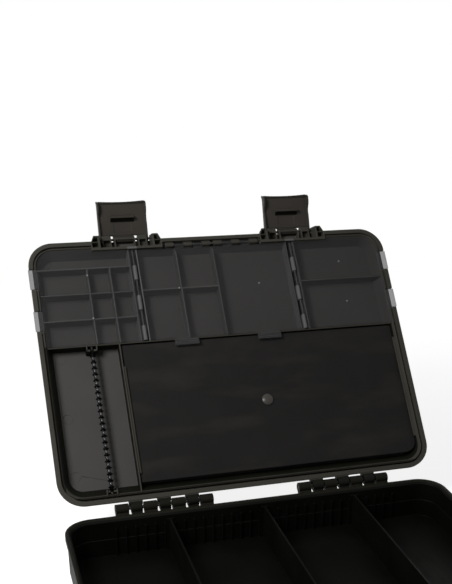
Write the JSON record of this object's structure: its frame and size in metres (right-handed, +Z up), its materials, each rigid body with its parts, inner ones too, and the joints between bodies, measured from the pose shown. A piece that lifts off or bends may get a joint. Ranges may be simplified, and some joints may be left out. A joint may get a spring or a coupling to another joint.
{
  "type": "hinged tackle box",
  "caption": "Flat hinged tackle box, open: a compartmented lid with clear doors, foam rig board, hook rail and latches over a base tray with lift-out dividers.",
  "frame": {"origin": "centre of the base's flat underside, on the surface that it stands on", "axes": "+X to the right across the case, +Y to the hinge side at the rear, +Z up"},
  "size_m": [0.3616, 0.4658, 0.2782],
  "materials": {
    "base_plastic": "fine-grained moulded plastic",
    "lid_plastic": "fine-grained moulded plastic, slight sheen",
    "latch_plastic": "smooth moulded plastic",
    "clear_plastic": "clear, glossy, slightly smoked",
    "foam": "closed-cell foam with a fine matt skin",
    "rail_plastic": "glossy black",
    "stud_plastic": "glossy dark grey",
    "steel": "drawn wire"
  },
  "bodies": {
    "base": {"base_shell": "base_plastic", "hinge_pin_left": "steel", "hinge_pin_right": "steel"},
    "lid": {"lid_shell": "lid_plastic", "rig_board": "foam", "board_stud": "stud_plastic", "hook_rail": "rail_plastic", "latch_pin_left": "steel", "latch_pin_right": "steel", "door_wire_left": "steel", "door_wire_middle": "steel", "door_wire_right": "steel"},
    "latch_left": {"latch_left": "latch_plastic"},
    "latch_right": {"latch_right": "latch_plastic"},
    "door_left_front": {"door_left_front": "clear_plastic"},
    "door_left_rear": {"door_left_rear": "clear_plastic"},
    "door_middle_left": {"door_middle_left": "clear_plastic"},
    "door_middle_right": {"door_middle_right": "clear_plastic"},
    "door_right_front": {"door_right_front": "clear_plastic"},
    "door_right_rear": {"door_right_rear": "clear_plastic"},
    "divider_left": {"divider_left": "base_plastic"},
    "divider_middle": {"divider_middle": "base_plastic"},
    "divider_right": {"divider_right": "base_plastic"}
  },
  "joints": [
    {"name": "lid_hinge", "type": "hinge", "parent": "base", "child": "lid", "pos_m": [0, 0.1345, 0.0428], "axis": [-1, 0, 0], "range_deg": [-130, 0]},
    {"name": "latch_left_swing", "type": "hinge", "parent": "lid", "child": "latch_left", "pos_m": [-0.0845, 0.31587, 0.24308], "axis": [-1, 0, 0], "range_deg": [-68, 0]},
    {"name": "latch_right_swing", "type": "hinge", "parent": "lid", "child": "latch_right", "pos_m": [0.0845, 0.31587, 0.24308], "axis": [-1, 0, 0], "range_deg": [-68, 0]},
    {"name": "door_left_front_hinge", "type": "hinge", "parent": "lid", "child": "door_left_front", "pos_m": [-0.0802, 0.26676, 0.20073], "axis": [0, 0.6428, 0.766], "range_deg": [0, 105]},
    {"name": "door_left_rear_hinge", "type": "hinge", "parent": "lid", "child": "door_left_rear", "pos_m": [-0.0802, 0.26676, 0.20073], "axis": [0, 0.6428, 0.766], "range_deg": [0, 105]},
    {"name": "door_right_front_hinge", "type": "hinge", "parent": "lid", "child": "door_right_front", "pos_m": [0.0802, 0.26676, 0.20073], "axis": [0, -0.6428, -0.766], "range_deg": [0, 105]},
    {"name": "door_right_rear_hinge", "type": "hinge", "parent": "lid", "child": "door_right_rear", "pos_m": [0.0802, 0.26676, 0.20073], "axis": [0, -0.6428, -0.766], "range_deg": [0, 105]},
    {"name": "door_middle_left_hinge", "type": "hinge", "parent": "lid", "child": "door_middle_left", "pos_m": [0, 0.29903, 0.23919], "axis": [-1, 0, 0], "range_deg": [0, 105]},
    {"name": "door_middle_right_hinge", "type": "hinge", "parent": "lid", "child": "door_middle_right", "pos_m": [0, 0.29903, 0.23919], "axis": [-1, 0, 0], "range_deg": [0, 105]},
    {"name": "divider_left_lift", "type": "slide", "parent": "base", "child": "divider_left", "axis": [0, 0, 1], "range_m": [0, 0.028]},
    {"name": "divider_middle_lift", "type": "slide", "parent": "base", "child": "divider_middle", "axis": [0, 0, 1], "range_m": [0, 0.028]},
    {"name": "divider_right_lift", "type": "slide", "parent": "base", "child": "divider_right", "axis": [0, 0, 1], "range_m": [0, 0.028]}
  ]
}
